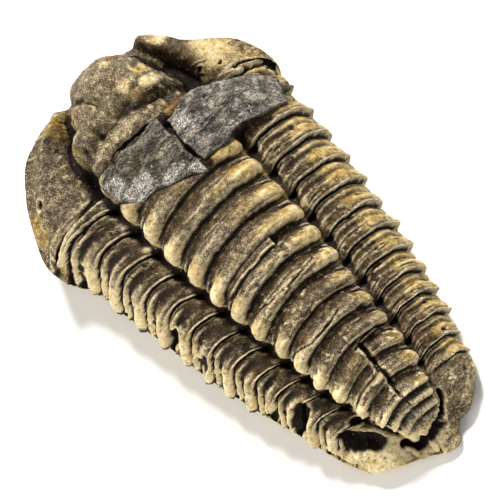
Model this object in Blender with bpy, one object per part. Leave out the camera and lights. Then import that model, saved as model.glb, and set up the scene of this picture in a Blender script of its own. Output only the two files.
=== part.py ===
"""A trilobite fossil lying on its flat underside, with two slate flakes on its neck.

Lengths are in millimetres until a mesh is made, which turns them into metres.
X runs to the animal's right, Y to its head and Z up; the origin is under the middle.
The body is a loft of cross rows, each from the left edge over the back to the right edge.
"""

import bpy
import numpy as np

MM = 0.001
COLLECTION = "trilobite_fossil"
ORIGIN = np.array((-0.56, 0.21, 0.0))

# Plan of the body: half widths along Y, from the tail to the head.
LEFT_EDGE = ((-28.2, 9.1), (-24.4, 10.6), (-18.5, 12.0), (-12.6, 13.6), (-5.5, 15.2), (4.1, 16.5),
             (9.2, 17.4), (14.2, 18.0), (16.4, 19.4), (19.2, 19.9), (23.2, 18.3), (27.1, 15.4),
             (30.0, 11.6), (31.6, 7.1))
RIGHT_EDGE = ((-28.2, 9.5), (-22.8, 11.2), (-15.1, 13.3), (-9.4, 14.7), (-2.5, 15.8), (6.3, 17.1),
              (14.5, 17.7), (17.6, 18.8), (20.2, 18.2), (22.4, 17.2), (24.0, 15.9), (26.0, 13.9),
              (27.5, 12.6), (29.7, 11.4), (31.6, 9.9))
# Outline of the front and of the tail: distance past the end rows, from left to right.
FRONT_EDGE = ((-7.1, 1.0), (-5.5, 0.9), (-4.2, 0.1), (-2.1, 1.6), (0.4, 2.0), (3.2, 1.7), (5.0, 0.4),
              (7.0, -0.4), (8.6, 0.0), (9.9, -0.7))
TAIL_EDGE = ((-9.1, 0.0), (-6.0, -1.9), (-2.8, -3.3), (0.4, -5.0), (2.0, -4.6), (2.9, -3.3),
             (5.5, -2.9), (8.4, -0.9), (9.5, 0.0))
FRONT_ROW = 31.6
TAIL_ROW = -28.2

# The raised middle lobe and the heights across the body, along Y.
AXIS_CENTRE = 0.25
AXIS_HALF = ((-31.0, 1.5), (-29.0, 2.6), (-25.3, 4.2), (-20.4, 5.6), (-14.3, 6.4), (-7.6, 7.1),
             (-0.9, 7.8), (6.9, 8.25), (18.0, 8.2), (24.0, 7.6))
AXIS_TOP = ((-31.5, 3.0), (-29.5, 5.2), (-27.0, 7.6), (-22.0, 10.2), (-15.0, 12.5), (-5.0, 14.8),
            (5.0, 16.2), (14.0, 16.8), (20.0, 16.2), (24.0, 15.5))
FURROW_TOP = ((-31.5, 2.2), (-29.5, 3.6), (-27.0, 5.4), (-22.0, 7.3), (-15.0, 9.2), (-5.0, 11.0),
              (5.0, 12.2), (14.0, 12.6), (20.0, 12.0))
EDGE_TOP = ((-31.0, 1.6), (-20.0, 1.9), (5.0, 2.2), (17.0, 2.2), (24.0, 2.6), (31.0, 3.2))

# Body rings: 13 in the middle body, then the closer ones of the tail shield.
RINGS = 13
FIRST_RING = 18.98
RING_PITCH = 4.18
PITCH_LOSS = 0.061
TAIL_RINGS = (-25.4, -26.8, -28.0, -29.0, -29.9)
RING_BOW = ((-30.0, 0.15), (-26.0, 0.5), (-20.0, 1.0), (0.0, 1.05), (20.0, 1.05))
SKEW = 0.045
# How far the ribs run forward of straight ones, from the middle lobe out to the edge.
LEFT_SWEEP = ((0.0, 0.0), (0.27, 1.0), (0.7, 1.5), (1.0, 0.2))
RIGHT_SWEEP = ((0.0, 0.0), (0.25, 0.5), (0.55, 0.35), (0.8, 0.2), (1.0, -0.6))
RING_RISE = 1.45
RIB_RISE = 0.95
NECK = 19.7

# Head: the cheeks' roof, the swollen middle part and its lobes (x, y, half x, half y, rise).
CHEEK_TOP = 11.2
HEAD_START = 17.4
GLABELLA_CENTRE = ((20.5, 0.8), (23.0, 0.5), (25.0, 0.25), (26.5, 0.4), (28.5, 0.9), (30.0, 1.2),
                   (31.8, 1.1), (33.4, 1.0))
GLABELLA_HALF = ((20.5, 7.4), (23.0, 8.1), (25.0, 7.8), (26.5, 7.1), (28.5, 6.0), (30.0, 5.2),
                 (31.8, 4.5), (33.4, 3.7))
GLABELLA_TOP = ((20.5, 15.0), (23.5, 16.2), (26.0, 16.8), (28.5, 16.2), (30.5, 14.8), (32.0, 13.2),
                (33.5, 11.0))
LOBES = ((2.6, 29.6, 3.2, 2.2, 0.7),
         (2.2, 25.6, 3.2, 2.2, 0.8),
         (-3.1, 28.4, 2.0, 1.5, 1.1),
         (-4.9, 24.8, 2.6, 1.6, 1.5),
         (6.5, 23.4, 2.8, 1.2, 1.3),
         (5.6, 26.9, 1.6, 1.3, 0.6))
CHEEK_LOBE = (-7.2, 30.0, 2.4, 2.6, 1.3)
# Grooves between the lobes: the points they run through, half width and depth.
GLABELLA_GROOVES = ((((-7.6, 28.8), (-5.2, 27.4), (-3.4, 25.8), (-2.0, 24.6)), 0.7, 1.1),
                    (((-4.4, 32.0), (-2.7, 31.2), (-0.7, 29.5), (0.6, 28.3)), 0.7, 0.7),
                    (((8.9, 25.2), (6.6, 25.2), (4.4, 24.4), (3.6, 23.4)), 0.7, 0.9),
                    (((-8.2, 22.6), (-3.5, 22.8), (1.0, 23.0), (4.8, 21.9), (8.8, 21.6)), 0.7, 1.1))
# The ridge across the back of the head.
BROW = 27.0
BROW_LENGTH = 5.4
BROW_STEEP = 0.4
OCCIPITAL = ((-6.0, 21.1), (-4.4, 21.6), (-1.9, 21.95), (1.3, 21.8), (4.2, 21.0))
# Trenches between the middle of the head and the cheeks (x, y), from the front to the neck.
LEFT_TRENCH = ((21.6, -7.7), (24.0, -7.7), (26.8, -6.9), (29.2, -5.7), (32.0, -3.7))
RIGHT_TRENCH = ((21.6, 10.1), (23.1, 9.6), (28.5, 8.2), (31.0, 7.1))
TRENCH_DEPTH = (1.3, 2.6)

# Holes and breaks: (x, y, half long, half short, turn in degrees, depth).
PITS = ((-10.5, -17.7, 1.6, 1.1, 20, 1.6),
        (-7.2, -25.2, 3.0, 1.3, -42, 2.4),
        (3.5, -28.8, 1.4, 0.6, 58, 1.3),
        (-2.3, -30.0, 1.8, 0.7, -25, 1.3),
        (-5.6, -23.1, 0.9, 0.5, -30, 1.0),
        (-12.6, -14.6, 0.8, 0.6, 0, 0.9),
        (-14.8, 0.9, 1.0, 0.7, 0, 1.0),
        (-14.0, -4.2, 0.9, 0.6, 40, 0.8),
        (-15.1, 24.9, 0.6, 0.5, 0, 0.7))
STEP_LINE = 0.8
STEP_ENDS = (-24.8, -17.5)
STEP_DROP = 1.0

# Flakes: corners in plan, anticlockwise from above, and how they lie on the neck.
LEFT_FLAKE = ((3.35, 19.7), (-1.7, 20.0), (-5.6, 20.1), (-7.5, 19.3), (-7.4, 16.3), (-6.8, 15.4),
              (-5.3, 14.0), (-2.6, 13.4), (-0.45, 12.4), (3.5, 10.3), (3.5, 15.8))
RIGHT_FLAKE = ((4.1, 18.7), (4.1, 14.6), (4.2, 11.5), (8.0, 11.4), (10.3, 12.1), (12.3, 11.9),
               (14.6, 11.8), (15.9, 12.0), (16.6, 12.6), (17.2, 15.2), (17.2, 16.6), (16.9, 17.6),
               (13.5, 18.2), (12.5, 19.0), (10.8, 19.4), (8.1, 19.4))
LEFT_FLAKE_TOP = ((-8.5, 15.1), (-4.0, 16.7), (0.0, 17.6), (4.5, 17.8))
RIGHT_FLAKE_TOP = ((3.0, 18.0), (8.0, 16.8), (12.0, 14.2), (15.0, 11.0), (17.5, 7.4))
FLAKE_FALL = 0.07
FLAKE_GAP = 0.6
FLAKE_THICKNESS = 1.1

# Mesh density.
RING_STEPS = (0.0, 0.2, 0.45, 0.8, 0.93)
HEAD_ROWS = 28
AXIS_COLUMNS = 14
FLANK_COLUMNS = 10
FLAKE_STEP = 1.6
FLAKE_LOOPS = (1.0, 0.7, 0.35)
EVEN_REACH = 4
EASING_PASSES = 2
SKIRT = ((0.62, 0.05), (0.25, -0.35), (0.0, -1.2))


def curve(at, points):
    """Values on a smooth line through (position, value) points."""
    spot, value = np.array(points, float).T
    slope = np.gradient(value, spot)
    at = np.clip(at, spot[0], spot[-1])
    left = np.clip(np.searchsorted(spot, at) - 1, 0, len(spot) - 2)
    width = spot[left + 1] - spot[left]
    t = (at - spot[left]) / width
    return (value[left] * (1 + 2 * t) * (1 - t) ** 2 + value[left + 1] * t * t * (3 - 2 * t)
            + width * (slope[left] * t * (1 - t) ** 2 - slope[left + 1] * t * t * (1 - t)))


def ramp(low, high, value):
    """0 below low, 1 above high, and smooth between."""
    t = np.clip((value - low) / (high - low), 0, 1)
    return t * t * (3 - 2 * t)


def hump(value, middle, width):
    return np.exp(-((value - middle) / width) ** 2)


def ring_centres():
    count = np.arange(RINGS)
    thorax = FIRST_RING - RING_PITCH * count + PITCH_LOSS * count ** 2
    return np.concatenate([thorax, TAIL_RINGS])


def across(x, y):
    """How far out a point is: 0 on the middle lobe, 1 at the body's edge."""
    out = np.abs(x - AXIS_CENTRE) - curve(y, AXIS_HALF)
    edge = np.where(x < 0, curve(y, LEFT_EDGE), curve(y, RIGHT_EDGE))
    room = np.maximum(edge - curve(y, AXIS_HALF), 0.5)
    return np.clip(out / room, 0, 1)


def on_axis(x, y):
    """-1 to 1 across the middle lobe."""
    return (x - AXIS_CENTRE) / curve(y, AXIS_HALF)


def sweep(x, y):
    """How far the ribs' lines run forward of straight ones."""
    out = across(x, y)
    return np.where(x < AXIS_CENTRE, curve(out, LEFT_SWEEP), curve(out, RIGHT_SWEEP))


def phase(x, y):
    """Counts the rings: a whole number on each ring's crest, rising to the tail."""
    bow = curve(y, RING_BOW) * np.clip(1 - on_axis(x, y) ** 2, 0, 1)
    centres = ring_centres()
    straight = y - bow - SKEW * x - sweep(x, y)
    inside = np.interp(-straight, -centres, np.arange(len(centres)))
    before = (centres[0] - straight) / RING_PITCH
    after = len(centres) - 1 + (centres[-1] - straight) / (centres[-2] - centres[-1])
    return np.where(straight > centres[0], before, np.where(straight < centres[-1], after, inside))


def neck_line(x, y):
    """Y of the neck, which runs back near the edges."""
    out = across(x, y)
    return NECK - np.where(x < AXIS_CENTRE, 0.6 * out + 2.2 * out ** 8, 0.4 * out + 3.4 * out ** 8)


def head_share(x, y):
    """1 on the head shield and 0 behind the neck line."""
    return ramp(-0.5, 0.5, y - neck_line(x, y))


def body_roof(x, y):
    """Height of the middle body and tail without rings."""
    out = across(x, y)
    edge, furrow = curve(y, EDGE_TOP), curve(y, FURROW_TOP)
    flank = edge + (furrow - edge) * (1 - out ** 2.6) ** 0.62
    arch = np.clip(1 - np.abs(on_axis(x, y)) ** 2.8, 0, 1) ** 0.75
    tail = (1 - np.clip((-23.5 - y) / 9.0, 0, 1) ** 2.4) ** 0.6
    roof = flank + (curve(y, AXIS_TOP) - furrow) * arch
    return edge * 0.8 + (roof - edge * 0.8) * tail


def distance_to_line(x, y, points):
    """Distance to a line drawn through the points."""
    nearest = np.full_like(x, 1e9)
    for (ax, ay), (bx, by) in zip(points, points[1:]):
        run = (bx - ax) ** 2 + (by - ay) ** 2
        t = np.clip(((x - ax) * (bx - ax) + (y - ay) * (by - ay)) / run, 0, 1)
        nearest = np.minimum(nearest, np.hypot(x - ax - t * (bx - ax), y - ay - t * (by - ay)))
    return nearest


def swelling(x, y, middle_x, middle_y, half_x, half_y, rise):
    spread = ((x - middle_x) / half_x) ** 2 + ((y - middle_y) / half_y) ** 2
    return rise * np.exp(-spread ** 1.5)


def glabella(x, y):
    """Height of the swollen middle of the head, with its side lobes and the grooves between them."""
    aside = np.abs(x - curve(y, GLABELLA_CENTRE)) / curve(y, GLABELLA_HALF)
    roof = 7.5 + (curve(y, GLABELLA_TOP) - 7.5) * np.clip(1 - aside ** 2.6, 0, 1) ** 0.5
    for place in LOBES:
        roof += swelling(x, y, *place)
    for points, half_width, deep in GLABELLA_GROOVES:
        roof -= deep * np.exp(-(distance_to_line(x, y, points) / half_width) ** 2)
    return roof


def head_roof(x, y):
    """Height of the head: two cheeks with the lobed middle between them."""
    edge = curve(y, EDGE_TOP)
    side = np.where(x < 0, curve(y, LEFT_EDGE), curve(y, RIGHT_EDGE))
    out = np.clip(np.abs(x) / side, 0, 1)
    dome = (1 - out ** np.where(x < 0, 5.0, 7.0)) ** 0.5
    hollow = 0.68 + 0.32 * ramp(0.42, np.where(x < 0, 0.80, 0.88), out)
    roof = edge + (CHEEK_TOP - edge) * dome * hollow
    for trench, deep in zip((LEFT_TRENCH, RIGHT_TRENCH), TRENCH_DEPTH):
        roof -= deep * hump(x, curve(y, trench), 1.1) * ramp(20.4, 22.4, y)
    roof += swelling(x, y, *CHEEK_LOBE)
    roof = np.logaddexp(roof * 2, glabella(x, y) * 2) / 2
    ridge = 16.4 - 0.035 * (x - 0.4) ** 2
    near_ridge = np.exp(-(distance_to_line(x, y, OCCIPITAL) / 1.0) ** 4)
    roof += np.maximum(ridge - roof, 0) * near_ridge
    fall = np.maximum(FRONT_ROW + curve(x, FRONT_EDGE) + BROW_STEEP - BROW, BROW_LENGTH)
    front = (1 - np.clip((y - BROW) / fall, 0, 1) ** 5) ** 0.5
    return edge + (roof - edge) * front


def ring_relief(x, y):
    """Rings on the middle lobe: a slow rise, a round crest and a sharp fall behind."""
    beat = phase(x, y) + 0.5
    part = beat - np.floor(beat)
    ridge = ramp(0.10, 0.50, part) * (1 - ramp(0.80, 0.92, part))
    link = 0.3 * (hump(part, 0.0, 0.08) + hump(part, 1.0, 0.08))
    reach = np.clip(1 - np.abs(on_axis(x, y)) ** 6, 0, 1) ** 0.5
    return RING_RISE * (ridge + link) * reach * (0.12 + 0.88 * ramp(-30.5, -22.5, y))


def smooth_field(x, y):
    """1 on the tail shield's right side, which has no ribs."""
    return (1 - ramp(-25.4, -24.4, y + 0.22 * (x - 5))) * ramp(0.02, 0.12, across(x, y)) * (x > 0)


def rib_relief(x, y):
    """Side ribs: a narrow band in front, a furrow and a broad band that ends in a lip."""
    beat = phase(x, y) + 0.5
    part = beat - np.floor(beat)
    out = across(x, y)
    front_band = (0.15 + 0.4 * ramp(0.25, 0.7, out)) * hump(part, 0.2, 0.11)
    back_band = ramp(0.36, 0.60, part) * (1 - ramp(0.93, 0.99, part)) * (0.62 + 0.38 * part)
    back_band *= np.where(x < AXIS_CENTRE, 0.5 + 0.5 * ramp(0.25, 0.7, out), 1.0)
    ribbed = np.where(x < AXIS_CENTRE, ramp(-26.0, -22.5, y - 1.5 * out), 1 - smooth_field(x, y))
    strength = ramp(0.0, 0.08, out) * ribbed
    return RIB_RISE * (front_band + back_band - 0.35) * strength


def pit_relief(x, y):
    depth = np.zeros_like(x)
    for middle_x, middle_y, long_half, short_half, turn, deep in PITS:
        c, s = np.cos(np.radians(turn)), np.sin(np.radians(turn))
        dx, dy = x - middle_x, y - middle_y
        spread = ((dx * c + dy * s) / long_half) ** 2 + ((dy * c - dx * s) / short_half) ** 2
        depth += deep * np.exp(-spread ** 2)
    return -depth


def depth_inside(x, y, corners):
    """Distance to an outline, positive inside it."""
    nearest = distance_to_line(x, y, corners + corners[:1])
    inside = np.zeros(x.shape, bool)
    for (ax, ay), (bx, by) in zip(corners, corners[1:] + corners[:1]):
        if ay != by:
            inside ^= ((y < ay) != (y < by)) & (x < ax + (y - ay) * (bx - ax) / (by - ay))
    return np.where(inside, nearest, -nearest)


def flake_top(x, y, heights):
    return curve(x, heights) - FLAKE_FALL * (y - 15)


def bed(x, y, z):
    """The body's height where it is filled up to carry the flakes."""
    for corners, heights in ((LEFT_FLAKE, LEFT_FLAKE_TOP), (RIGHT_FLAKE, RIGHT_FLAKE_TOP)):
        level = flake_top(x, y, heights) - FLAKE_THICKNESS - FLAKE_GAP
        inside = ramp(-1.6, -0.4, depth_inside(x, y, corners))
        z = z + inside * (level - z)
    return z


def relief(x, y):
    """Everything that stands out of the roof or is sunk into it."""
    out, axis = across(x, y), np.abs(on_axis(x, y))
    furrow = 0.75 * hump(axis, 1.04, 0.09) * np.where(x < AXIS_CENTRE, 0.6, 1.0)
    furrow *= ramp(-31, -26, y)
    body = ring_relief(x, y) * np.clip(1 - axis ** 8, 0, 1) + rib_relief(x, y) - furrow
    past = x - STEP_LINE
    step = ramp(STEP_ENDS[0] - 0.4, STEP_ENDS[0], y) * (1 - ramp(STEP_ENDS[1], STEP_ENDS[1] + 0.4, y))
    body -= STEP_DROP * step * ramp(0.0, 0.3, past) * (1 - ramp(1.0, 4.0, past))
    head, line = head_share(x, y), neck_line(x, y)
    neck_crack = 1.2 * hump(y, line, 0.28) * (1 - ramp(0.85, 1.0, out))
    border = 0.4 * hump(y, line + 1.0, 0.5) * ramp(0.1, 0.3, out) * (x < AXIS_CENTRE)
    return body * (1 - head) + border * head + pit_relief(x, y) - neck_crack


def rows():
    """The rows' places along the middle, from the head to the tail."""
    head = FRONT_ROW - (FRONT_ROW - HEAD_START) * np.linspace(0, 1, HEAD_ROWS) ** 1.35
    centres = ring_centres()
    thorax = []
    for front, back in zip(centres[:-1], centres[1:]):
        for step in RING_STEPS:
            thorax.append(front + (back - front) * step + 0.5 * (front - back))
    thorax = [y for y in thorax if TAIL_ROW + 0.8 < y < HEAD_START - 0.4]
    return np.array(list(head) + thorax + [TAIL_ROW + 0.5, TAIL_ROW + 0.2, TAIL_ROW])


def plan(row_list):
    """X and Y of the loft's points: one line of points for each row."""
    turn = np.linspace(0, 1, FLANK_COLUMNS + 1)
    flank = 0.45 * turn + 0.55 * np.sin(turn * np.pi / 2)
    middle = np.linspace(-1, 1, AXIS_COLUMNS + 1)
    x_rows, y_rows = [], []
    for row in row_list:
        half, left, right = curve(row, AXIS_HALF), curve(row, LEFT_EDGE), curve(row, RIGHT_EDGE)
        half = min(half, 0.62 * min(left, right))
        x = np.concatenate([-left + (left + AXIS_CENTRE - half) * (1 - flank[::-1]),
                            (AXIS_CENTRE + half * middle)[1:-1],
                            AXIS_CENTRE + half + (right - AXIS_CENTRE - half) * flank])
        bow = curve(row, RING_BOW) * np.clip(1 - ((x - AXIS_CENTRE) / half) ** 2, 0, 1)
        front, tail = ramp(21.0, FRONT_ROW, row), ramp(-23.5, TAIL_ROW, row)
        y = row + bow + SKEW * x + sweep(x, np.full_like(x, row)) * (1 - front)
        y += front * (FRONT_ROW + curve(x, FRONT_EDGE) - y - (FRONT_ROW - row))
        y += tail * (row + curve(x, TAIL_EDGE) - y)
        x_rows.append(x)
        y_rows.append(y)
    return np.array(x_rows), np.array(y_rows)


def eased(z, amount):
    """Heights of a grid drawn towards the mean of their neighbours, by an amount from 0 to 1."""
    for _ in range(EASING_PASSES):
        mean = (z[:-2, 1:-1] + z[2:, 1:-1] + z[1:-1, :-2] + z[1:-1, 2:]) / 4
        z[1:-1, 1:-1] += amount[1:-1, 1:-1] * (mean - z[1:-1, 1:-1])
    return z


def surface(x, y):
    """The back of the body, with its relief pushed out: upwards on the soft head and tail."""
    share = head_share(x, y)
    soft = np.maximum(share, ramp(-24.5, -27.5, y))
    z = body_roof(x, y) * (1 - share) + head_roof(x, y) * share
    points = np.stack([x, y, z], axis=-1)
    normal = np.cross(np.gradient(points, axis=0), np.gradient(points, axis=1))
    normal /= np.linalg.norm(normal, axis=-1, keepdims=True)
    normal += soft[..., None] * (np.array((0.0, 0.0, 1.0)) - normal)
    push = relief(x, y)
    push[0] = push[-1] = 0
    points += normal * push[..., None]
    points[..., 2] = eased(points[..., 2], 0.5 * soft)
    points[..., 2] = bed(points[..., 0], points[..., 1], points[..., 2])
    return points


def rim_of(shape):
    """Row and column numbers round the edge of a grid, anticlockwise from above."""
    last_row, last_column = shape[0] - 1, shape[1] - 1
    spots = [(0, c) for c in range(last_column, 0, -1)]
    spots += [(r, 0) for r in range(last_row)]
    spots += [(last_row, c) for c in range(last_column)]
    spots += [(r, last_column) for r in range(last_row, 0, -1)]
    return spots


def smoothed(line, reach):
    """A closed line with each point moved to the mean of its neighbours."""
    return sum(np.roll(line, step, axis=0) for step in range(-reach, reach + 1)) / (2 * reach + 1)


def closed_mesh(name, top, skirt):
    """A grid of points closed below: loops of (share of height, outset), the last one flat."""
    count = top.shape[1]
    points = [tuple(p) for p in top.reshape(-1, 3)]
    faces = []
    for r in range(top.shape[0] - 1):
        for c in range(count - 1):
            corner = r * count + c
            faces.append((corner, corner + count, corner + count + 1, corner + 1))
    spots = rim_of(top.shape)
    rim = np.array([top[r, c] for r, c in spots])
    even = smoothed(rim[:, :2], EVEN_REACH)
    along = np.roll(even, -1, axis=0) - np.roll(even, 1, axis=0)
    outward = np.stack([along[:, 1], -along[:, 0]], axis=1)
    outward = smoothed(outward / np.linalg.norm(outward, axis=1, keepdims=True), EVEN_REACH)
    loop = [r * count + c for r, c in spots]
    for share, outset in skirt:
        ring = rim.copy()
        ring[:, :2] += (even - rim[:, :2]) * (1 - share) + outward * outset
        ring[:, 2] *= share
        start = len(points)
        points += [tuple(p) for p in ring]
        below = list(range(start, start + len(ring)))
        for i in range(len(loop)):
            j = (i + 1) % len(loop)
            faces.append((loop[i], below[i], below[j], loop[j]))
        loop = below
    faces.append(tuple(reversed(loop)))
    return mesh_of(name, points, faces)


def flake_mesh(name, corners, heights):
    """A slab of even thickness over an outline."""
    corner = np.array(corners)
    line = []
    for start, end in zip(corner, np.roll(corner, -1, axis=0)):
        steps = max(1, round(np.hypot(*(end - start)) / FLAKE_STEP))
        line += [start + (end - start) * i / steps for i in range(steps)]
    line = np.array(line)
    centre = line.mean(axis=0)
    plan_points = np.concatenate([centre + (line - centre) * share for share in FLAKE_LOOPS] + [[centre]])
    x, y = plan_points.T
    top = flake_top(x, y, heights)
    levels = (top - FLAKE_THICKNESS, top)
    points = [tuple(p) for z in levels for p in np.stack([x, y, z], axis=1)]
    size, count = len(line), len(plan_points)
    faces = []
    for i in range(size):
        j = (i + 1) % size
        for inner in range(len(FLAKE_LOOPS) - 1):
            a, b = inner * size, (inner + 1) * size
            faces.append((count + a + i, count + a + j, count + b + j, count + b + i))
            faces.append((b + i, b + j, a + j, a + i))
        last = (len(FLAKE_LOOPS) - 1) * size
        faces.append((count + last + i, count + last + j, 2 * count - 1))
        faces.append((count - 1, last + j, last + i))
        faces.append((i, j, count + j, count + i))
    return mesh_of(name, points, faces)


def mesh_of(name, points, faces):
    mesh = bpy.data.meshes.new(name)
    mesh.from_pydata([tuple((np.array(p) - ORIGIN) * MM) for p in points], [], faces)
    mesh.validate()
    return mesh


def material(name, colour, roughness):
    stone = bpy.data.materials.new(name)
    stone.use_nodes = True
    shader = stone.node_tree.nodes["Principled BSDF"]
    shader.inputs["Base Color"].default_value = (*colour, 1)
    shader.inputs["Roughness"].default_value = roughness
    shader.inputs["Metallic"].default_value = 0.0
    return stone


def add_object(mesh, collection, stone):
    piece = bpy.data.objects.new(mesh.name, mesh)
    mesh.materials.append(stone)
    collection.objects.link(piece)
    return piece


def make_body(collection):
    x, y = plan(rows())
    mesh = closed_mesh("fossil_body", surface(x, y), SKIRT)
    mesh.shade_smooth()
    return add_object(mesh, collection, material("ochre_stone", (0.33, 0.25, 0.14), 0.85))


def new_collection(name):
    collection = bpy.data.collections.new(name)
    bpy.context.scene.collection.children.link(collection)
    return collection


def main():
    for piece in list(bpy.data.objects):
        bpy.data.objects.remove(piece)
    collection = new_collection(COLLECTION)
    make_body(collection)
    slate = material("grey_slate", (0.14, 0.135, 0.125), 0.8)
    add_object(flake_mesh("left_slate_flake", LEFT_FLAKE, LEFT_FLAKE_TOP), collection, slate)
    add_object(flake_mesh("right_slate_flake", RIGHT_FLAKE, RIGHT_FLAKE_TOP), collection, slate)


main()
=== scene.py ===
"""The looks of the trilobite fossil: a finely modelled stone body and two slate flakes.

Shapes are worked out in millimetres and become metres in new_mesh. X runs to the animal's right, Y to
its head and Z up. Most values are those of the part's source. The head's small lobes and grooves, the
neck ring, the right flake's outer end and a few small cracks are refined here.
"""

import math
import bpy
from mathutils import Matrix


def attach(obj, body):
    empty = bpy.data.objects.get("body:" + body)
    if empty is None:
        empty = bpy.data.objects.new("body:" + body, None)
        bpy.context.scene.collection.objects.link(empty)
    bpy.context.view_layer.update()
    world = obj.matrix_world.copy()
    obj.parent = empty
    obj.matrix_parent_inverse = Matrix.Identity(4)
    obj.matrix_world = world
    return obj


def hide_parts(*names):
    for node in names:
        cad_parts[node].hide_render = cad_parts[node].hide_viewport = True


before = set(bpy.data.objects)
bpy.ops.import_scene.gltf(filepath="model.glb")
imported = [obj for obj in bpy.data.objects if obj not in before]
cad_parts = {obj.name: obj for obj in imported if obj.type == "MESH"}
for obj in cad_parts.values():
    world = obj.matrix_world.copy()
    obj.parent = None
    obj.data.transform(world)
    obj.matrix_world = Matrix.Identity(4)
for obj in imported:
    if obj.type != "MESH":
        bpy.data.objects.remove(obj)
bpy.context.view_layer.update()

from types import SimpleNamespace

import bpy
import numpy as np
from mathutils import Matrix, Vector

MM = 0.001
ORIGIN = np.array((-0.56, 0.21, 0))

# Plan of the body: half widths along Y, from the tail to the head.
LEFT_EDGE = (
    (-28.2, 9.1), (-24.4, 10.6), (-18.5, 12), (-12.6, 13.6), (-5.5, 15.2), (4.1, 16.5), (9.2, 17.4),
    (14.2, 18), (16.4, 19.4), (19.2, 19.9), (23.2, 18.3), (27.1, 15.4), (30, 11.6), (31.6, 7.1))
RIGHT_EDGE = (
    (-28.2, 9.5), (-22.8, 11.2), (-15.1, 13.3), (-9.4, 14.7), (-2.5, 15.8), (6.3, 17.1), (14.5, 17.7),
    (17.6, 18.8), (20.2, 18.2), (22.4, 17.2), (24, 15.9), (26, 13.9), (27.5, 12.6), (29.7, 11.4),
    (31.6, 9.9))
FRONT_EDGE = (
    (-7.1, 1), (-5.5, 0.9), (-4.2, 0.1), (-2.1, 1.6), (0.4, 2), (3.2, 1.7), (5, 0.4), (7, -0.4), (8.6, 0),
    (9.9, -0.7))
TAIL_EDGE = (
    (-9.1, 0), (-6, -1.9), (-2.8, -3.3), (0.4, -5), (2, -4.6), (2.9, -3.3), (5.5, -2.9), (8.4, -0.9),
    (9.5, 0))
FRONT_ROW = 31.6
TAIL_ROW = -28.2

# The raised middle lobe and the heights across the body, along Y.
AXIS_CENTRE = 0.25
AXIS_HALF = (
    (-31, 1.5), (-29, 2.6), (-25.3, 4.2), (-20.4, 5.6), (-14.3, 6.4), (-7.6, 7.1), (-0.9, 7.8), (6.9, 8.25),
    (18, 8.2), (24, 7.6))
AXIS_TOP = (
    (-31.5, 3), (-29.5, 5.2), (-27, 7.6), (-22, 10.2), (-15, 12.5), (-5, 14.8), (5, 16.2), (14, 16.8),
    (20, 16.2), (24, 15.5))
FURROW_TOP = (
    (-31.5, 2.2), (-29.5, 3.6), (-27, 5.4), (-22, 7.3), (-15, 9.2), (-5, 11), (5, 12.2), (14, 12.6),
    (20, 12))
EDGE_TOP = ((-31, 1.6), (-20, 1.9), (5, 2.2), (17, 2.2), (24, 2.6), (31, 3.2))

# Body rings: 13 in the middle body, then the closer ones of the tail shield.
RINGS = 13
FIRST_RING = 18.98
RING_PITCH = 4.18
PITCH_LOSS = 0.061
TAIL_RINGS = (-25.4, -26.8, -28, -29, -29.9)
RING_BOW = ((-30, 0.15), (-26, 0.5), (-20, 1), (0, 1.05), (20, 1.05))
SKEW = 0.045
LEFT_SWEEP = ((0, 0), (0.27, 1), (0.7, 1.5), (1, 0.2))
RIGHT_SWEEP = ((0, 0), (0.25, 0.5), (0.55, 0.35), (0.8, 0.2), (1, -0.6))
RING_RISE = 1.5
RIB_RISE = 0.95
NECK = 19.7
TAIL_START = -23.6

# Places along one ring, as shares of its length from front to back.
HALF_RING = 0.12
RIB_FRONT = 0.19
RING_CREST = 0.6
RIB_LIP = 0.922
# Where the painted highlight along each rib's lip is centred.
LIP_HIGHLIGHT = 0.918
RING_CRACK = 0.965
RIB_CRACK = 0.975

# Head: the cheeks' roof, the swollen middle part, its lobes (x, y, half x, half y, rise) and its
# grooves (points along them, half width and depth).
CHEEK_TOP = 11.2
HEAD_START = 17.4
GLABELLA_CENTRE = (
    (20.5, 0.8), (23, 0.5), (25, 0.25), (26.5, 0.4), (28.5, 0.9), (30, 1.2), (31.8, 1.1), (33.4, 1))
GLABELLA_HALF = (
    (20.5, 7.4), (23, 8.1), (25, 7.8), (26.5, 7.1), (28.5, 6), (30, 5.2), (31.8, 4.5), (33.4, 3.7))
GLABELLA_TOP = (
    (20.5, 15), (23.5, 16.2), (26, 16.8), (28.5, 16.2), (30.5, 14.8), (32, 13.2), (33.5, 11))
LOBES = (
    (2.6, 29.6, 3.2, 2.2, 0.7),
    (2.2, 25.6, 3.2, 2.2, 0.8),
    (-4.3, 28.3, 1.3, 1.2, 1.3),
    (-5.6, 24.5, 2.7, 2.4, 2.1),
    (6.2, 24, 2.1, 1.8, 2),
    (5.6, 26.9, 1.6, 1.3, 0.6))
CHEEK_LOBE = (-7.2, 30, 2.4, 2.6, 1.3)
GLABELLA_FOOT = 7.5
GLABELLA_GROOVES = (
    (((-9, 29.6), (-7.4, 28.6), (-5.4, 27.5)), 0.75, 3),
    (((-5.6, 33.2), (-4.2, 32), (-2.9, 31.3)), 0.7, 2.4),
    (((-7.6, 28.1), (-5.9, 27), (-4.3, 25.7), (-3.2, 23.8)), 0.7, 1),
    (((-5.2, 31.6), (-3.4, 30.4), (-1.6, 28.6), (-0.9, 26.6)), 0.55, 1.2),
    (((8.9, 25.9), (6.6, 25.8), (4.6, 24.9), (4, 23.6)), 0.45, 0.7),
    (((-8.2, 22.8), (-3.5, 23.1), (1, 23.3), (4.8, 22.3), (8.8, 21.8)), 0.55, 0.7))
BROW = 27
BROW_LENGTH = 5.4
BROW_STEEP = 0.4
OCCIPITAL = ((-6, 21.1), (-4.4, 21.6), (-1.9, 21.95), (1.3, 21.8), (4.2, 21))
OCCIPITAL_HALF = 1.3
OCCIPITAL_TOP = 16.4
OCCIPITAL_BEND = 0.035
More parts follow.
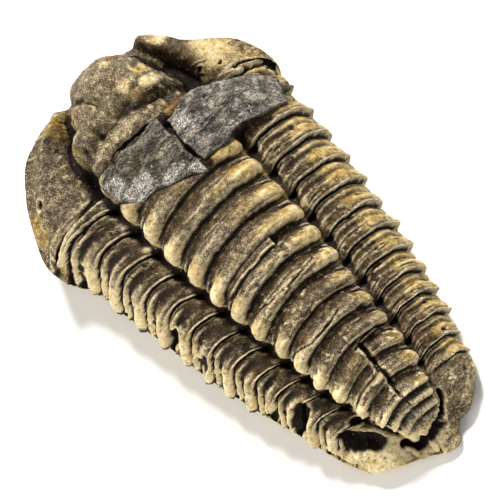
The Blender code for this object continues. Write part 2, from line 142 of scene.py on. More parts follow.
LEFT_TRENCH = ((21.6, -7.7), (24, -7.7), (26.8, -6.9), (29.2, -5.7), (32, -3.7))
RIGHT_TRENCH = ((21.6, 10.1), (23.1, 9.6), (28.5, 8.2), (31, 7.1))
TRENCH_DEPTH = (1.3, 2.6)
TRENCH_HALF = 1.1

# Holes and breaks: (x, y, half long, half short, turn in degrees, depth).
PITS = (
    (-10.5, -17.7, 1.6, 1.1, 20, 1.9),
    (-7.2, -25.2, 3, 1.3, -42, 2.6),
    (-5.6, -23.1, 0.9, 0.5, -30, 1.3),
    (-12.6, -14.6, 0.8, 0.6, 0, 1.2),
    (-14.8, 0.9, 1, 0.7, 0, 1.3),
    (-14, -4.2, 0.9, 0.6, 40, 1),
    (-15.1, 24.9, 0.55, 0.4, 30, 0.9),
    (13.9, 21, 0.35, 0.2, 20, 0.5),
    (11.4, 22.4, 0.3, 0.25, 0, 0.5))
# Long hollows and cracks: points along them, half width and depth.
TRENCHES = (
    (((4.3, -27.4), (3.8, -28.4), (2.6, -29.5), (1, -30.3)), 0.26, 1.3),
    (((1.7, -30.1), (-0.3, -30.6), (-2.2, -30.1), (-3.4, -29)), 0.5, 1.7),
    (((-0.2, -30.9), (-0.9, -32.6)), 0.07, 0.3),
    (((8.7, -27.2), (8, -28.3), (6.4, -29.3), (4.8, -30)), 0.22, 0.14),
    (((-5.4, -12.4), (-1, -13.3), (2.5, -12.6)), 0.1, 0.45),
    (((-4, -6), (1, -6.6), (4.6, -5.9)), 0.1, 0.4),
    (((0.9, -17.4), (3.4, -17), (5.8, -17.3)), 0.16, 0.6),
    (((-4.8, 20.3), (-1.5, 20.5), (2.9, 20), (4.4, 19.8)), 0.2, 0.7),
    (((14.5, 18.9), (17.2, 17.5), (18.8, 16.2)), 0.16, 0.9))
# The step on the back, the flaked-off layer and the thin shelf over one valley.
STEP_LINE = 0.8
STEP_ENDS = (-24.8, -17.5)
STEP_DROP = 1
PEEL_DEPTH = 0.17
SHELF_SPOT = 6.16
SHELF_ENDS = (-4, 2.9)
SHELF_HEIGHT = 0.95

# Flakes: corners in plan, anticlockwise from above, and how they lie on the neck.
LEFT_FLAKE = (
    (3.35, 19.7), (-1.7, 20), (-5.6, 20.1), (-7.5, 19.3), (-7.4, 16.3), (-6.8, 15.4), (-5.3, 14),
    (-2.6, 13.4), (-0.45, 12.4), (3.5, 10.3), (3.5, 15.8))
RIGHT_FLAKE = (
    (4.1, 18.7), (4.1, 14.6), (4.2, 11.5), (8, 11.4), (10.3, 12.1), (12.3, 11.9), (14.5, 11.4), (16.4, 11.4),
    (17, 13.2), (17.5, 14.9), (16.4, 16.7), (14.6, 17.3), (13.5, 18), (12.5, 18.6), (10.8, 19), (8.1, 19.4))
LEFT_FLAKE_TOP = ((-8.5, 15.1), (-4, 16.7), (0, 17.6), (4.5, 17.8))
RIGHT_FLAKE_TOP = ((3, 18), (8, 16.8), (12, 14.2), (15, 11), (17.5, 7.4))
FLAKE_FALL = 0.07
FLAKE_THICKNESS = 1.1
BED_GAP = 0.15

# Fineness of the meshes.
HEAD_ROWS = 100
RING_ROWS = 24
TAIL_ROWS = 56
AXIS_COLUMNS = 80
FLANK_COLUMNS = 55
EVEN_REACH = 14

# Below the rim: (share of the rim's height, outset) of each loop down the sides, then shares of the
# lowest loop's size in under the body. Stains, and the painted shade in the dark mask, fade down the sides
# to the values given here.
LOWEST_RIM = 0.5
SKIRT = (
    (0.86, 0.04), (0.68, 0.06), (0.5, 0), (0.32, -0.15), (0.16, -0.45), (0.05, -0.9), (0, -1.3))
UNDERSIDE = (0.8, 0.5, 0.2)
UNDERSIDE_RISE = 0.28
SIDE_STAIN = {"ochre": 0.35, "cream": 0.2, "dark": 0.2}
STAIN_FADE = 0.7

# Stains of the body, with painted shade and a painted highlight among them: (x, y, half x, half y,
# strength).
STAINS_AND_PAINTED_LIGHT = {
    "rust": (
        (6.6, 19.9, 2.4, 1.1, 1), (4.9, 30.4, 1.8, 0.7, 0.9), (9.9, 29.9, 0.9, 0.8, 0.5),
        (3, 26.6, 1.2, 0.7, 0.5)),
    "ochre": (
        (6.2, 26.6, 1.1, 0.8, 0.8), (-4, 29.6, 0.9, 1.2, 1), (-7.2, 24.9, 1, 1.8, 0.7),
        (-4.6, 28.3, 1, 1, 0.7), (-6.6, 30.6, 2, 1.8, 0.8), (-17.6, 22.6, 1.3, 2.6, 0.7),
        (3.9, 24.2, 1.4, 0.6, 0.5), (14, 24.5, 4, 5, 0.7), (17, 18.5, 2.5, 3, 0.5),
        (5.6, 9.4, 2.2, 1.4, 0.5)),
    "cream": (
        (0.8, 28, 6, 5, 0.08), (7, -27, 4, 4, 0.15), (-1.5, 21.9, 4.6, 0.7, 0.3), (3.4, 29.8, 0.8, 0.6, 0.6),
        (10.3, 29.6, 1.6, 1.4, 0.9), (14.8, 23.8, 2.8, 3.6, 0.5), (3.4, 25.8, 1.1, 0.8, 0.7),
        # The spot at (6.2, 24.3) is a painted highlight on the head's right lobe.
        (6.2, 24.3, 1.3, 0.9, 0.75), (6.4, -27.1, 0.35, 0.2, 1), (6.9, -27.4, 0.3, 0.25, 1),
        (6.3, -27.7, 0.25, 0.2, 0.9), (6.9, -26.9, 0.2, 0.2, 0.9), (6, -27.4, 0.2, 0.15, 0.9),
        (8.9, 0.3, 0.9, 0.7, 0.7), (-8.8, 9.9, 0.8, 0.6, 1), (-6.5, -29.4, 6, 2, 1)),
    "dark": (
        # Partly stain, partly painted shade: the spots at (10.2, 26), (8.3, 22.8) and (4.8, 22.7), along the
        # right trench and in the hollows around the head's right lobe.
        (-8.3, 22.6, 1.8, 2.8, 0.6), (-10.1, 30.8, 0.9, 2, 0.4), (10.2, 26, 3, 7.5, 0.9),
        (8.3, 22.8, 1.3, 1.2, 0.8), (0.6, 27.3, 2, 1.2, 0.3), (-2.8, 28.8, 1.4, 1.6, 0.4),
        (4.8, 22.7, 2.8, 0.9, 0.9), (6.9, 19.6, 2, 0.9, 0.6)),
}


# ---- shared formulas

def curve(at, points):
    """Values on a smooth line through (position, value) points."""
    spot, value = np.array(points, float).T
    slope = np.gradient(value, spot)
    at = np.clip(at, spot[0], spot[-1])
    left = np.clip(np.searchsorted(spot, at) - 1, 0, len(spot) - 2)
    width = spot[left + 1] - spot[left]
    t = (at - spot[left]) / width
    return (value[left] * (1 + 2 * t) * (1 - t) ** 2 + value[left + 1] * t * t * (3 - 2 * t)
            + width * (slope[left] * t * (1 - t) ** 2 - slope[left + 1] * t * t * (1 - t)))


def ramp(low, high, value):
    """0 below low, 1 above high, and smooth between."""
    t = np.clip((value - low) / (high - low), 0, 1)
    return t * t * (3 - 2 * t)


def fade(low, high, value):
    """1 below low and 0 above high."""
    return 1 - ramp(low, high, value)


def hump(value, middle, width):
    """1 at the middle, falling away smoothly to both sides."""
    return np.exp(-((value - middle) / width) ** 2)


def wrapped(value):
    """The distance to the nearest whole number."""
    return value - np.round(value)


def noise(a, b, size, seed):
    """Smooth random values from -1 to 1, with bumps of about one size."""
    table = np.random.default_rng(seed).uniform(-1, 1, (256, 256))
    a, b = a / size + 57.3, b / size + 31.7
    i, j = np.floor(a).astype(int), np.floor(b).astype(int)
    u, v = ramp(0, 1, a - i), ramp(0, 1, b - j)
    near, far = [table[i % 256, row] * (1 - u) + table[(i + 1) % 256, row] * u
                 for row in (j % 256, (j + 1) % 256)]
    return near * (1 - v) + far * v


def layered(a, b, size, seed, layers=4):
    """Noise with finer noise on it, from about -1 to 1."""
    return sum(noise(a, b, size / 2 ** n, seed + n) / 2 ** n for n in range(layers)) / 1.6


def blurred(values, reach):
    """Each value of a grid replaced by the mean of the square around it."""
    size = 2 * reach + 1
    for turn in range(2):
        total = np.cumsum(np.pad(values, ((reach + 1, reach), (0, 0)), mode="edge"), axis=0)
        values = ((total[size:] - total[:-size]) / size).T
    return values


def distance_to_line(x, y, points):
    nearest = np.full_like(x, np.inf)
    for (ax, ay), (bx, by) in zip(points, points[1:]):
        dx, dy = bx - ax, by - ay
        t = np.clip(((x - ax) * dx + (y - ay) * dy) / (dx ** 2 + dy ** 2), 0, 1)
        nearest = np.minimum(nearest, np.hypot(x - ax - t * dx, y - ay - t * dy))
    return nearest


def depth_inside(x, y, corners):
    """Distance to an outline, positive inside it."""
    closed = [*corners, corners[0]]
    inside = np.zeros(x.shape, bool)
    for (ax, ay), (bx, by) in zip(closed, closed[1:]):
        if ay != by:
            inside ^= ((y < ay) != (y < by)) & (x < ax + (y - ay) * (bx - ax) / (by - ay))
    nearest = distance_to_line(x, y, closed)
    return np.where(inside, nearest, -nearest)


def swelling(x, y, middle_x, middle_y, half_x, half_y, rise):
    """Height of a rounded lobe."""
    spread = ((x - middle_x) / half_x) ** 2 + ((y - middle_y) / half_y) ** 2
    return rise * np.exp(-spread ** 1.5)


def blots(x, y, spots, wander, edge):
    """Soft blots with ragged outlines, each (x, y, half x, half y, strength)."""
    total = np.zeros_like(x)
    for middle_x, middle_y, half_x, half_y, strength in spots:
        spread = np.hypot((x - middle_x) / half_x, (y - middle_y) / half_y) + wander
        total = np.maximum(total, strength * fade(0.5, edge, spread))
    return total


def unit(vectors):
    return vectors / np.linalg.norm(vectors, axis=-1, keepdims=True)


def smoothed(line, reach):
    """A closed line with each point at its neighbours' mean."""
    return sum(np.roll(line, step, axis=0) for step in range(-reach, reach + 1)) / (2 * reach + 1)


def outward_of(line, reach=0):
    """Directions that point out of a closed line, evened over a reach."""
    along = smoothed(np.roll(line, -1, axis=0) - np.roll(line, 1, axis=0), reach)
    return unit(np.stack([along[:, 1], -along[:, 0]], axis=1))


# ---- the body's form

def ring_centres():
    count = np.arange(RINGS)
    thorax = FIRST_RING - RING_PITCH * count + PITCH_LOSS * count ** 2
    return np.concatenate([thorax, TAIL_RINGS])


def edge_at(x, y):
    """The body's half width on the point's own side."""
    return np.where(x < 0, curve(y, LEFT_EDGE), curve(y, RIGHT_EDGE))


def across(x, y):
    """How far out a point is: 0 on the middle lobe, 1 at the body's edge."""
    half = curve(y, AXIS_HALF)
    out = np.abs(x - AXIS_CENTRE) - half
    return np.clip(out / np.maximum(edge_at(x, y) - half, 0.5), 0, 1)


def on_axis(x, y):
    """-1 to 1 across the middle lobe."""
    return (x - AXIS_CENTRE) / curve(y, AXIS_HALF)


def sweep(x, y):
    """How far the ribs' lines run forward of straight ones."""
    out = across(x, y)
    return np.where(x < AXIS_CENTRE, curve(out, LEFT_SWEEP), curve(out, RIGHT_SWEEP))


def phase(x, y):
    """Counts the rings: a whole number on each ring's crest, rising to the tail."""
    bow = curve(y, RING_BOW) * np.clip(1 - on_axis(x, y) ** 2, 0, 1)
    centres = ring_centres()
    straight = y - bow - SKEW * x - sweep(x, y)
    inside = np.interp(-straight, -centres, np.arange(len(centres)))
    before = (centres[0] - straight) / RING_PITCH
    after = len(centres) - 1 + (centres[-1] - straight) / (centres[-2] - centres[-1])
    return np.where(straight > centres[0], before, np.where(straight < centres[-1], after, inside))


def neck_line(x, y):
    """Y of the neck, behind the head: it runs back near the edges."""
    out = across(x, y)
    return NECK - np.where(x < AXIS_CENTRE, 0.6 * out + 2.2 * out ** 8, 0.4 * out + 3.4 * out ** 8)


def body_roof(x, y):
    """Height of the middle body and tail without rings."""
    out = across(x, y)
    edge, furrow = curve(y, EDGE_TOP), curve(y, FURROW_TOP)
    flank = edge + (furrow - edge) * (1 - out ** 2.6) ** 0.62
    arch = np.clip(1 - np.abs(on_axis(x, y)) ** 2.8, 0, 1) ** 0.75
    tail = (1 - np.clip((-23.5 - y) / 9, 0, 1) ** 2.4) ** 0.6
    roof = flank + (curve(y, AXIS_TOP) - furrow) * arch
    return edge * 0.8 + (roof - edge * 0.8) * tail


def glabella(x, y):
    """Height of the head's swollen middle, with its lobes and grooves."""
    aside = np.abs(x - curve(y, GLABELLA_CENTRE)) / curve(y, GLABELLA_HALF)
    swell = np.clip(1 - aside ** 2.6, 0, 1) ** 0.5
    roof = GLABELLA_FOOT + (curve(y, GLABELLA_TOP) - GLABELLA_FOOT) * swell
    for lobe in LOBES:
        roof += swelling(x, y, *lobe)
    for points, half_width, deep in GLABELLA_GROOVES:
        roof -= deep * hump(distance_to_line(x, y, points), 0, half_width)
    return roof


def head_roof(x, y):
    """Height of the head: the lobed middle between two cheeks."""
    edge = curve(y, EDGE_TOP)
    out = np.clip(np.abs(x) / edge_at(x, y), 0, 1)
    dome = (1 - out ** np.where(x < 0, 5, 7)) ** 0.5
    hollow = 0.68 + 0.32 * ramp(0.42, np.where(x < 0, 0.8, 0.88), out)
    roof = edge + (CHEEK_TOP - edge) * dome * hollow
    for trench, deep in zip((LEFT_TRENCH, RIGHT_TRENCH), TRENCH_DEPTH):
        roof -= deep * hump(x, curve(y, trench), TRENCH_HALF) * ramp(20.4, 22.4, y)
    roof += swelling(x, y, *CHEEK_LOBE)
    roof = np.logaddexp(roof * 3, glabella(x, y) * 3) / 3
    ridge = OCCIPITAL_TOP - OCCIPITAL_BEND * (x - 0.4) ** 2
    near = np.exp(-(distance_to_line(x, y, OCCIPITAL) / OCCIPITAL_HALF) ** 4)
    roof += (ridge - roof) * near * (ridge > roof)
    fall = np.maximum(FRONT_ROW + curve(x, FRONT_EDGE) + BROW_STEEP - BROW, BROW_LENGTH)
    front = (1 - np.clip((y - BROW) / fall, 0, 1) ** 5) ** 0.5
    return edge + (roof - edge) * front


def survey(x, y):
    """What the relief and the stains need to know about each point."""
    axis, head = on_axis(x, y), ramp(-0.5, 0.5, y - neck_line(x, y))
    roof = body_roof(x, y) * (1 - head) + head_roof(x, y) * head
    run = np.hypot(np.diff(x, axis=1), np.diff(roof, axis=1))
    arc = np.pad(np.cumsum(run, axis=1), ((0, 0), (1, 0)))
    arc -= arc[:, arc.shape[1] // 2][:, None]
    beat = phase(x, y) + 0.5 + 0.03 * layered(arc, y, 2.4, 11) + 0.012 * noise(arc, y, 0.5, 15)
    ring = np.floor(beat).astype(int)
    f = SimpleNamespace(x=x, y=y, roof=roof, arc=arc, ring=ring, part=beat - ring, axis=axis,
                        out=across(x, y), wide=np.abs(axis), left=x < AXIS_CENTRE, head=head,
                        back=1 - head)
    f.plain = smooth_field(f)
    f.ribbed, f.porous = 1 - f.plain, porous(f)
    f.peeled = peeled(f)
    return f


def rough(f, size, seed, layers=4):
    """Layered noise over the body's surface."""
    return layered(f.arc, f.y, size, seed, layers)


def per_ring(f, low, high, seed):
    """A random value for each ring."""
    return np.random.default_rng(seed).uniform(low, high, 64)[f.ring % 64]


def ring_band(f):
    """A ring's low band between its knobs, which climbs and drops at a ragged cliff."""
    crest = RING_CREST + per_ring(f, -0.04, 0.04, 21) + 0.06 * noise(f.arc, f.y, 4, 26)
    start = HALF_RING + 0.08 * ramp(0.3, 0.8, f.wide)
    climb = ramp(start - 0.1, crest, f.part)
    back = np.clip((f.part - crest) / (0.93 - crest), 0, 1)
    slope = 0.14 * ramp(0, 0.05, f.part) + 0.86 * climb * (1 - 0.55 * back ** 2)
    cliff = per_ring(f, 0.78, 0.87, 31) + 0.04 * noise(f.arc, f.y, 3, 32)
    return slope * fade(cliff, 0.95, f.part), crest


def ring_relief(f):
    """Rings on the middle lobe: a low band, a rope with round ends and a crack behind."""
    band, crest = ring_band(f)
    q = (f.part - crest) / np.where(f.part < crest, 0.38, 0.31)
    end = np.clip((f.wide - 0.79) / 0.22, 0, 3)
    rope = np.sqrt(np.clip(1 - (q * q + end * end) ** 1.15, 0, 1))
    crease = sum(deep * hump(f.part, spot + 0.06 * noise(f.arc, f.ring * 5, 4, seed), 0.018)
                 * ramp(0, 0.4, noise(f.arc, f.ring * 7, 4, seed + 1))
                 for spot, deep, seed in ((0.3, 0.14, 171), (0.72, 0.1, 175), (0.82, 0.12, 179)))
    knob = ramp(0.7, 0.86, f.wide)
    crack = 0.45 * hump(wrapped(f.part - RING_CRACK), 0, 0.03) * fade(0.95, 1.1, f.wide)
    crack *= per_ring(f, 0.2, 1, 25) * ramp(-26.5, -22, f.y)
    half_ring = 0.24 * hump(f.part, HALF_RING, 0.06) * knob * fade(0.98, 1.1, f.wide)
    worn = f.x < STEP_LINE
    size = per_ring(f, 0.85, 1.15, 22) * (0.12 + 0.88 * ramp(-30.5, -22.5, f.y))
    size *= 1 - 0.4 * ramp(-12, -20, f.y) * fade(0.4, 0.8, f.wide) * worn
    fine = 0.45 * hump(f.part, 0.42, 0.06) * ramp(-18.5, -21, f.y) * worn * ramp(-30.5, -29, f.y)
    saddle = 1 - 0.12 * hump(f.axis, 0.1, 0.3) + 0.1 * noise(f.arc, f.y, 3, 28)
    swell = (band * (1 - knob) + rope * knob) * saddle
    return RING_RISE * size * (swell + half_ring - crease - crack - fine)


def shell_shelf(f):
    """A thin broken layer over the valley behind one ring, and its edge."""
    low, high = SHELF_ENDS
    along = ramp(low - 2.5, low, f.x) * fade(high, high + 0.15, f.x)
    back = SHELF_SPOT - 0.12 * (1 - along) - f.ring - f.part + 0.07 * rough(f, 1.6, 67, 3)
    shelf = ramp(0, 0.03, back) * fade(0.35, 0.5, back)
    return along * shelf, along * hump(back, 0.05, 0.035)


def rib_bands(f, outer):
    """A rib's narrow band in front and its broad, split band behind."""
    front = np.where(f.left, (0.02 + 0.6 * outer) * hump(f.part, RIB_FRONT, 0.095),
                     (0.14 + 0.32 * outer) * hump(f.part, 0.2, 0.07 + 0.07 * outer)
                     * (1 - 0.5 * ramp(0.8, 0.97, f.out)))
    back = ramp(np.where(f.left, 0.34, 0.28), np.where(f.left, 0.62, 0.52), f.part)
    back *= fade(0.9, 0.955, f.part)
    splits = sum(hump(f.part, spot + 0.05 * noise(f.arc, f.ring * 5, 3, seed), 0.016)
                 * ramp(-0.1, 0.4, noise(f.arc, f.ring * 8, 2.5, seed + 1))
                 for spot, seed in ((0.5, 141), (0.66, 151), (0.79, 161)))
    slant = 0.55 + (0.2 + 0.6 * outer) * (f.part - 0.4) - 0.35 * splits
    back *= np.where(f.left, 0.45 + 0.55 * hump(f.part, 0.72, 0.2), slant)
    back *= np.where(f.left, 0.3 + 0.7 * outer, 1) * (1 + 0.3 * noise(f.arc, f.ring * 9, 3.5, 29))
    return front + back


def rib_relief(f):
    """Side ribs: two bands, then a thin lip and a crack."""
    bands = rib_bands(f, ramp(0.25, 0.7, f.out))
    lip = 0.34 * hump(f.part, RIB_LIP, 0.024) * fade(0.7, 1, f.out) * per_ring(f, 0.7, 1.2, 23)
    lip *= np.where(f.left, 1.5, 0.6)
    crack = per_ring(f, 0.5, 0.9, 30) * hump(wrapped(f.part - RIB_CRACK), 0, 0.034)
    crack *= np.where(f.left, 1, 1 - 0.5 * ramp(0.6, 0.95, f.out))
    tips = 1 + np.where(f.left, 0.35, 0.5 * (f.part - 0.4)) * ramp(0.75, 0.95, f.out)
    shield = np.where(f.left, ramp(-26, -22.5, f.y - 1.5 * f.out), f.ribbed)
    rim = 0.3 * f.plain * ramp(0.8, 0.84, f.out) * fade(0.86, 1, f.out)
    strength = ramp(0, 0.06, f.out) * shield
    return RIB_RISE * (tips * bands + lip - crack - 0.3) * strength + rim


def furrow_pits(f):
    """Deep pits beside the rings' ends, each behind a knob."""
    spot = hump(f.wide, 1.08, np.where(f.left, 0.1, 0.08)) * hump(wrapped(f.part - 0.04), 0, 0.16)
    return -np.where(f.left, 1.5, 1) * spot * (f.y > -25) * per_ring(f, 0.6, 1.2, 24)


def pit_spread(f):
    """For each pit, how far out of its ragged outline a point is, and its depth."""
    ragged = 1 + 0.45 * rough(f, 1.3, 31, 3)
    for middle_x, middle_y, long_half, short_half, turn, deep in PITS:
        angle = math.radians(turn)
        c, s = math.cos(angle), math.sin(angle)
        dx, dy = f.x - middle_x, f.y - middle_y
        spread = ((dx * c + dy * s) / long_half) ** 2 + ((dy * c - dx * s) / short_half) ** 2
        yield spread * ragged, deep


def pit_rims(f):
    """1 on the crumbled rims of the larger pits on the body."""
    rims = sum(hump(spread, 1.9, 0.7) for spread, deep in pit_spread(f) if deep > 1)
    return np.clip(rims, 0, 1) * f.back


def pit_relief(f):
    depth = np.zeros_like(f.x)
    for spread, deep in pit_spread(f):
        depth = np.maximum(depth, deep * np.exp(-spread ** 3))
    wander = 0.22 * rough(f, 1.1, 35, 3)
    uneven = 1 + 0.4 * rough(f, 1, 39, 3)
    for points, half_width, deep in TRENCHES:
        gap = distance_to_line(f.x + wander, f.y + wander, points) * uneven / half_width
        depth = np.maximum(depth, deep * np.exp(-gap ** 4))
    return -depth


def smooth_field(f):
    """1 on the tail shield's right side, which has no ribs."""
    return fade(-25.4, -24.4, f.y + 0.22 * (f.x - 5)) * ramp(0, 0.05, f.out) * (f.x > 0)


def stone_grain(f):
    """Slow swells, streaks along the rings, fine grit and splits."""
    ahead = 1 - ramp(-26, -28, f.y) * ramp(0, 0.1, f.out)
    swell = 0.12 * rough(f, 3, 41, 3)
    streaks = 0.09 * layered(f.arc, f.y * 6, 3.2, 45, 3) * f.back * f.ribbed * ahead
    grit = 0.05 * rough(f, 0.6, 51, 2) * (1 + 0.8 * f.head)
    worn = ramp(0.15, 0.55, rough(f, 5, 55, 3)) * f.back * ahead
    splits = -0.3 * worn * hump(noise(f.arc, f.y * 5, 2.6, 58), 0, 0.09) * ramp(0.05, 0.15, f.out)
    lumps = 0.45 * f.porous * rough(f, 1.3, 63, 3) * ramp(-12, -18, f.y)
    return swell + streaks + grit + splits + lumps


def porous(f):
    """Where the surface is crumbly: the left ribs' tips and the tail's left margin."""
    tips = np.where(f.left, ramp(0.62, 0.88, f.out), 0.45 * ramp(0.85, 0.97, f.out))
    tail = ramp(-24, -27.5, f.y) * ramp(3, -2, f.x) * ramp(0.2, 0.5, f.out + (f.y < -29))
    knobs = 0.6 * ramp(0.55, 0.85, -f.axis) * fade(1.02, 1.1, f.wide) * ramp(-9, -17, f.y)
    return np.clip(tips + tail + knobs, 0, 1) * f.back


def peeled(f):
    """1 where a thin outer layer has flaked away, mostly from the rear rings."""
    zone = np.where(f.wide < 1, ramp(5, -8, f.y), np.where(f.left, 0.2, 0.4)) * f.ribbed
    patches = layered(f.arc, f.y * 1.6, 3.4, 131, 5)
    return ramp(0, 0.06, patches - 0.6 + 0.5 * zone) * f.back


def break_relief(f):
    """The step where one side of the back has dropped, and its gap."""
    low, high = STEP_ENDS
    along = ramp(low - 0.3, low, f.y) * fade(high, high + 0.3, f.y)
    past = f.x - STEP_LINE - 0.12 * (f.y + 21) - 0.15 * noise(f.y, f.y, 0.8, 61)
    drop = STEP_DROP * ramp(0, 0.18, past) * fade(1.5, 4.2, past)
    gap = 0.8 * hump(past, 0.45, 0.35) * ramp(-24.8, -22.5, f.y)
    return -(drop + gap) * along


def relief(f):
    """Everything that stands out of the roof or is sunk into it."""
    on_middle = np.clip(1.15 - f.wide ** 10, 0, 1)
    furrow = np.where(f.left, 0.3, 0.4) * hump(f.wide, 1.05, 0.075) * ramp(-31, -26, f.y)
    shelf, lip = shell_shelf(f)
    rings = np.maximum(ring_relief(f), SHELF_HEIGHT * shelf) + 0.2 * lip
    body = rings * on_middle + rib_relief(f) - furrow + furrow_pits(f)
    body += break_relief(f) - PEEL_DEPTH * f.peeled
    holes = 0.28 * f.porous * ramp(0.15, 0.5, noise(f.arc, f.y, 0.55, 71))
    holes *= 1 - 0.95 * ramp(-26, -28.5, f.y)
    line = neck_line(f.x, f.y)
    neck_crack = 1.3 * hump(f.y, line, 0.22) * fade(0.85, 1, f.out)
    border = 0.4 * hump(f.y, line + 1, 0.5) * ramp(0.1, 0.3, f.out) * f.left
    granules = 0.1 * ramp(0.1, 0.7, noise(f.arc, f.y, 0.55, 75)) * f.head
    granules += 0.36 * rough(f, 2.3, 77, 3) * ramp(11, 13, f.roof) * f.head
    return (body * f.back + (border + granules) * f.head + pit_relief(f) - neck_crack
            + stone_grain(f) - holes)


def flake_top(x, y, heights):
    return curve(x, heights) - FLAKE_FALL * (y - 15)


def bed(x, y, z):
    """The body's height, with hollows for the flakes to lie in."""
    for corners, heights in ((LEFT_FLAKE, LEFT_FLAKE_TOP), (RIGHT_FLAKE, RIGHT_FLAKE_TOP)):
        level = flake_top(x, y, heights) - FLAKE_THICKNESS - BED_GAP
        depth = depth_inside(x, y, corners)
        z = z + ramp(-0.35, 0.25, depth) * (np.minimum(z, level) - z)
        z = z + ramp(-0.1, 0.7, depth) * (level - z)
    return z


# ---- the body's mesh

def ring_steps():
    """Shares of one ring's length, closer together at the crack."""
    t = np.linspace(0, 1, 400, endpoint=False)
    density = 1 + 1.6 * hump(wrapped(t - 0.95), 0, 0.09) + 0.6 * hump(t, 0.32, 0.08)
    total = np.concatenate([[0], np.cumsum(density)])
    return np.interp(np.arange(RING_ROWS) / RING_ROWS * total[-1], total, np.linspace(0, 1, 401))


def rows():
    """The rows' places along the middle, from the head to the tail."""
    head = FRONT_ROW - (FRONT_ROW - HEAD_START) * np.linspace(0, 1, HEAD_ROWS) ** 1.35
    centres = ring_centres()
    thorax = []
    for front, back in zip(centres[:RINGS], centres[1:]):
        thorax += [front + 0.5 * (front - back) + (back - front) * step for step in ring_steps()]
    thorax = [y for y in sorted(thorax, reverse=True) if TAIL_START < y < HEAD_START - 0.1]
    return np.concatenate([head, thorax, np.linspace(TAIL_START, TAIL_ROW, TAIL_ROWS)])


def plan():
    """X and Y of the grid's points, a line for each row."""
    turn = np.linspace(0, 1, FLANK_COLUMNS + 1)
    flank = 0.35 * turn + 0.65 * np.sin(turn * np.pi / 2)
    middle = np.linspace(-1, 1, AXIS_COLUMNS + 1)
    middle = 0.6 * middle + 0.4 * np.sin(middle * np.pi / 2)
    x_rows, y_rows = [], []
    for row in rows():
        half, left, right = curve(row, AXIS_HALF), curve(row, LEFT_EDGE), curve(row, RIGHT_EDGE)
        half = min(half, 0.62 * min(left, right))
        x = np.concatenate([-left + (left + AXIS_CENTRE - half) * (1 - flank[::-1]),
                            (AXIS_CENTRE + half * middle)[1:-1],
                            AXIS_CENTRE + half + (right - AXIS_CENTRE - half) * flank])
        bow = curve(row, RING_BOW) * np.clip(1 - ((x - AXIS_CENTRE) / half) ** 2, 0, 1)
        front, tail = ramp(21, FRONT_ROW, row), ramp(-23.5, TAIL_ROW, row)
        y = row + bow + SKEW * x + sweep(x, np.full_like(x, row)) * (1 - front)
        y += front * (FRONT_ROW + curve(x, FRONT_EDGE) - y - (FRONT_ROW - row))
        y += tail * (row + curve(x, TAIL_EDGE) - y)
        x_rows.append(x)
        y_rows.append(y)
    return np.array(x_rows), np.array(y_rows)


def surface(f):
    """The body's back, with its relief pushed out along the roof's normals."""
    points = np.stack([f.x, f.y, f.roof], axis=-1)
    normal = unit(np.cross(np.gradient(points, axis=0), np.gradient(points, axis=1)))
    push = relief(f)
    push[0] = push[-1] = 0
    points = points + normal * push[..., None]
    points[..., 2] = np.maximum(bed(*np.moveaxis(points, -1, 0)), LOWEST_RIM)
    return points, push


def below_rim(rim):
    """Loops of points down the sides and in under the body, and a middle."""
    even = smoothed(rim[:, :2], EVEN_REACH)
    outward = outward_of(even, EVEN_REACH)
    angle = np.arctan2(rim[:, 1], rim[:, 0]) * 18
    loops = []
    for share, outset in SKIRT:
        loop = rim.copy()
        rough = 0.25 * layered(angle, np.full_like(angle, share * 6), 1.6, 81, 3) * (1 - share) ** 0.5
        loop[:, :2] += (even - rim[:, :2]) * (1 - share) + outward * (outset + rough)[:, None]
        loop[:, 2] *= share
        loops.append(loop)
    centre, lowest = np.array((0, 2)), loops[-1]
    for share in UNDERSIDE:
        x, y = (centre + (lowest[:, :2] - centre) * share).T
        rise = np.clip(0.5 + layered(x, y, 5, 91), 0, 1)
        loops.append(np.stack([x, y, UNDERSIDE_RISE * rise], axis=1))
    return loops, (*centre, 0.1)


def closed_below(top, faces, rim, loops, middle):
    """Points and faces of a body closed below by loops and a middle."""
    upper, start = rim, len(top)
    for loop in loops:
        lower = np.arange(start, start + len(rim))
        faces += np.stack([upper, lower, np.roll(lower, -1), np.roll(upper, -1)], axis=1).tolist()
        upper, start = lower, start + len(rim)
    faces += [(int(a), start, int(b)) for a, b in zip(upper, np.roll(upper, -1))]
    return np.concatenate([top, *loops, [middle]]), faces


def new_mesh(name, points, faces, masks):
    """A mesh in metres, with masks on its vertices for the nodes to read."""
    mesh = bpy.data.meshes.new(name)
    mesh.from_pydata(((points - ORIGIN) * MM).tolist(), [], faces)
    mesh.validate()
    mesh.shade_smooth()
    for mask, values in masks.items():
        layer = mesh.attributes.new(mask, "FLOAT", "POINT")
        layer.data.foreach_set("value", np.clip(values, 0, 1).astype(np.float32))
    return mesh


def spot_mask(f, kind):
    return blots(f.x, f.y, STAINS_AND_PAINTED_LIGHT[kind], 0.35 * rough(f, 1.6, 101), 1.3)


def zones(f):
    """The parts of the back and of each ring that the stains and the painted shade follow."""
    beyond = ramp(0.98, 1.04, f.wide)
    return SimpleNamespace(
        middle=f.back * (1 - beyond), side=f.back * beyond, knobs=ramp(0.45, 0.8, f.wide),
        crest=ramp(0.3, 0.45, f.part) * fade(0.62, 0.85, f.part) * f.ribbed,
        whole=ramp(0.25, 0.35, f.part) * fade(0.88, 0.94, f.part))


